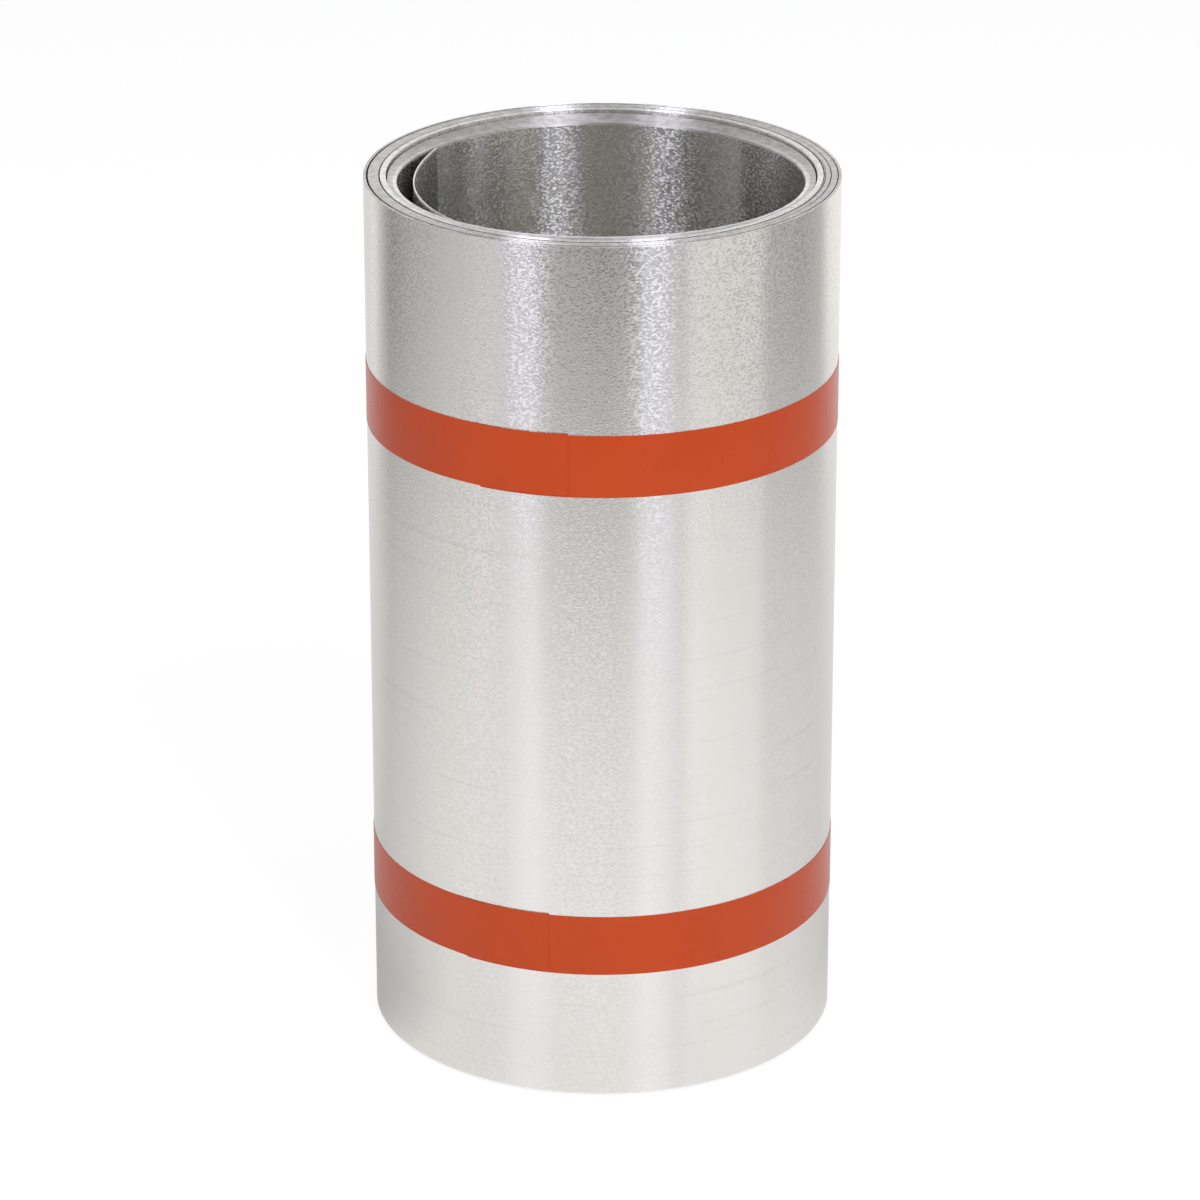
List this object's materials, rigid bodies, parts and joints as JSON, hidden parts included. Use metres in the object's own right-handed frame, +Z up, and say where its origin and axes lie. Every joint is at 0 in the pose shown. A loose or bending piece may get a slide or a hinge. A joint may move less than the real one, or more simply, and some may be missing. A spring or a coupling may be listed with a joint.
{
  "type": "aluminum flashing roll",
  "caption": "Upright coil of thin bare aluminium sheet with an open bore, a sprung inner end, and two bands of strapping tape that hold it shut.",
  "frame": {"origin": "on the floor, at the axis of the roll", "axes": "+Z up along the roll's axis; -Y towards the side on which the tape bands lap"},
  "size_m": [0.1342, 0.1342, 0.2553],
  "materials": {
    "mill_finish_aluminium": "bare mill finish with a fine grain along the sheet",
    "strapping_tape": "satin orange-red polypropylene film"
  },
  "bodies": {
    "root": {"coil": "mill_finish_aluminium", "upper_tape_band": "strapping_tape", "lower_tape_band": "strapping_tape"}
  },
  "joints": []
}
